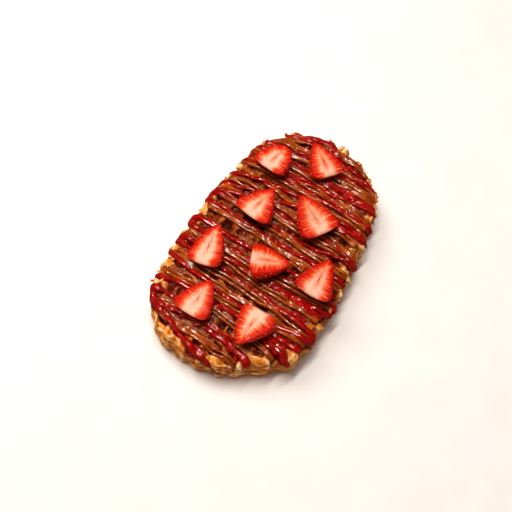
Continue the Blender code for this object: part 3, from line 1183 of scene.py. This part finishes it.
def cut_face(berry, skin, wander, rng):
    """The cut face and the stem cut as two grids, and what the flesh shader reads on each."""
    across = (1 - np.cos(np.linspace(0, math.pi, BERRY_COLUMNS))) / 2
    face = skin[:, :1] + (skin[:, -1:] - skin[:, :1]) * across[None, :, None]
    bow = np.sqrt(1 - (2 * across - 1) ** 2)
    from_stem = np.linspace(0, 1, BERRY_ROWS)[:, None]
    face[..., 0] -= STEM_BOW * bow * np.clip(1 - from_stem / 0.3, 0, 1) ** 2
    from_edge = (face[..., 0] - face[0, :, 0]).ravel()
    flat = face.reshape(-1, 3)
    values = face_attributes(berry, flat, np.vstack([skin[:, 0], skin[:, -1]]), rng)
    inner = smooth(values["rim"] / 2.5)
    swell = inner * (0.35 + 0.3 * noise(flat[:, 0] / 4, flat[:, 1] / 4, wander))
    round_off = np.clip(0.6 - flat[:, 0] / 2.8, 0, 1) ** 2 * inner
    flat[:, 2] = swell - 0.3 * values["slit"] - 1.5 * round_off - 0.25 * values["core"]
    sink = np.linspace(0, 1, CAP_ROWS)[:, None, None]
    cap = flat[:BERRY_COLUMNS] * (1 - sink) + skin[0] * sink
    cap[..., 0] -= CAP_BOW * np.sin(math.pi * sink[..., 0]) * bow
    cap = cap.reshape(-1, 3)
    cap_values = {key: np.tile(values[key][:BERRY_COLUMNS], CAP_ROWS) for key in ("rim", "heart")}
    cap_values.update(fan=cap[:, 1], aside=cap[:, 1], stem=0.4 + 0.6 * smooth(-cap[:, 2] / 1.5))
    values.update(
        fan=values["fan"] + wander, side=3 * np.sign(flat[:, 1]), along=flat[:, 0],
        aside=flat[:, 1] + 3 * wander, stem=0.4 * smooth(1 - from_edge / 1.3),
    )
    return flat, cap, values, cap_values


def berry_seeds(berry, grid, normals, places, ball, rng):
    """The seeds of one berry, each in its dimple, but none that the cut would have gone through."""
    for row, column in places:
        up = normals[row, column]
        ahead = unit(grid[min(row + 1, BERRY_ROWS - 1), column] - grid[row, column])
        size = np.array(SEED_SIZE) * rng.uniform(0.85, 1.1)
        if -grid[row, column, 2] >= size[0]:
            at = grid[row, column] - up * (DIMPLE_DEPTH * 0.75)
            yield berry.place(at + ball * size @ np.stack([ahead, np.cross(up, ahead), up]))


def add_berry(node, number, mats, ball):
    """One strawberry half: dimpled skin, cut face and stem cut, in one closed mesh. Returns its
    seeds' shapes."""
    rng = np.random.default_rng(BERRY_DRAWS + number)
    berry = Berry(node)
    wander = number * 5.7  # makes this berry's unevenness its own
    grid, normals, places = berry_skin(berry, wander, rng)
    nearest = np.min([np.linalg.norm(grid - grid[place], axis=-1) for place in places], axis=0)
    dimple = smooth(1 - nearest / DIMPLE_RADIUS)
    skin = trimmed(grid - normals * (1, 1, 0.9) * (DIMPLE_DEPTH * dimple)[..., None])
    flat, cap, face_values, cap_values = cut_face(berry, skin, wander, rng)
    parts = [skin.reshape(-1, 3), flat, cap]
    starts = np.cumsum([0] + [len(part) for part in parts])
    faces = np.vstack([
        grid_faces(BERRY_ROWS, BERRY_COLUMNS, starts[0])[:, ::-1],
        grid_faces(BERRY_ROWS, BERRY_COLUMNS, starts[1]),
        grid_faces(CAP_ROWS, BERRY_COLUMNS, starts[2])[:, ::-1],
    ])
    read = ({"dimple": dimple.ravel()}, face_values, cap_values)
    attributes = {
        key: np.concatenate([own.get(key, np.zeros(len(part))) for own, part in zip(read, parts)])
        for key in ("dimple", *face_values)
    }
    points = berry.place(np.vstack(parts))
    obj = mesh_object(f"{node}_half", points, faces, mats, attributes, sharp=48)
    is_flesh = np.arange(len(faces)) >= (BERRY_ROWS - 1) * (BERRY_COLUMNS - 1)
    obj.data.polygons.foreach_set("material_index", is_flesh.astype(np.int32))
    add_piece(obj, "strawberry", node)
    return list(berry_seeds(berry, grid, normals, places, ball, rng))


def add_strawberries():
    mats = [skin_material(), flesh_material()]
    ball, quads = ellipsoid(rows=6, columns=8)
    seeds = []
    for number, node in enumerate(BERRIES):
        seeds += add_berry(node, number, mats, ball)
    obj = mesh_object("strawberry_seeds", *joined(seeds, quads), [seed_material()])
    add_piece(obj, "strawberry")


# ---------------------------------------------------------------- studio


def add_camera():
    azimuth, elevation, roll = (
        math.radians(angle) for angle in (CAMERA_AZIMUTH, CAMERA_ELEVATION, CAMERA_ROLL)
    )
    back = Vector((
        math.sin(azimuth) * math.cos(elevation),
        -math.cos(azimuth) * math.cos(elevation),
        math.sin(elevation),
    ))
    level = (-back).cross(Vector((0, 0, 1))).normalized()
    above = level.cross(-back)
    right = level * math.cos(roll) + above * math.sin(roll)
    up = above * math.cos(roll) - level * math.sin(roll)
    camera = bpy.data.objects.new("camera", bpy.data.cameras.new("camera"))
    camera.data.lens = LENS_MM
    camera.data.sensor_width = 36.0
    camera.data.clip_start = 0.01
    turn = Matrix((right, up, back)).transposed().to_4x4()
    camera.matrix_world = Matrix.Translation(Vector(CAMERA_PLACE_MM) * MM) @ turn
    bpy.context.scene.collection.objects.link(camera)
    bpy.context.scene.camera = camera


def add_light(name, place, size, power, colour):
    """A rectangle of light of size (across, along) in metres, facing the croffle."""
    light = bpy.data.lights.new(name, "AREA")
    light.shape = "RECTANGLE"
    light.size, light.size_y = size
    light.energy = power
    light.color = colour
    obj = bpy.data.objects.new(name, light)
    obj.location = place
    obj.rotation_euler = (-Vector(place)).to_track_quat("-Z", "Y").to_euler()
    bpy.context.scene.collection.objects.link(obj)
    return obj


def add_lights():
    """A faint warm world, a long narrow key light that the wet surfaces reflect, and two soft
    lights that they don't."""
    world = bpy.data.worlds.new("world")
    world.use_nodes = True
    background = world.node_tree.nodes["Background"]
    background.inputs["Color"].default_value = (1.0, 0.5, 0.25, 1.0)
    background.inputs["Strength"].default_value = 0.09
    bpy.context.scene.world = world
    add_light("key", (-0.28, 0.07, 1.37), (0.9, 0.03), 11.5, (1.0, 0.90, 0.76))
    soft = add_light("soft", (-0.20, 0.10, 1.30), (1.0, 1.0), 7.2, (1.0, 0.96, 0.91))
    side = add_light("side", (-0.85, 0.15, 1.0), (0.6, 0.6), 8.0, (1.0, 0.95, 0.89))
    soft.visible_glossy = side.visible_glossy = False


def add_floor():
    bpy.ops.mesh.primitive_plane_add(size=6.0)
    floor = bpy.context.object
    floor.name = "floor"
    g = Graph("floor")
    colour = g.ramp(g.noise(40.0, detail=2.0), (0.3, (240, 242, 246)), (0.7, (246, 248, 252)))
    floor.data.materials.append(g.finish(Base_Color=colour, Roughness=0.8))
    floor.visible_glossy = False
    floor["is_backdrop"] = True


def add_backdrop():
    """A pale surround that is only seen, and neither lights nor shades anything."""
    bpy.ops.mesh.primitive_uv_sphere_add(radius=8.0)
    backdrop = bpy.context.object
    backdrop.name = "backdrop"
    backdrop.data.materials.append(Graph("backdrop").finish(
        Base_Color=(0.0, 0.0, 0.0, 1.0), Roughness=1.0, Specular_IOR_Level=0.0,
        Emission_Color=(1.0, 0.98, 0.95, 1.0), Emission_Strength=0.75,
    ))
    backdrop.visible_diffuse = backdrop.visible_glossy = backdrop.visible_shadow = False
    backdrop.visible_transmission = False
    backdrop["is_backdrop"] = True


def add_studio():
    add_lights()
    add_floor()
    add_backdrop()
    settings = bpy.context.scene.view_settings
    settings.view_transform = "Standard"
    settings.look = "None"


def write_sizes():
    boxes = {"cad": CAD_BOX, "visual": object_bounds()}
    rows = {name: [list(corner) for corner in box] for name, box in boxes.items()}


add_camera()
add_studio()
croffle = Croffle()
covered, soak_and_shade, stain = add_sauces(croffle)
crust = add_crust(croffle, soak_and_shade, stain, crust_material())
add_flakes(croffle, crust, flake_material())
add_crumbs(croffle, covered, crumb_material())
add_strawberries()
write_sizes()
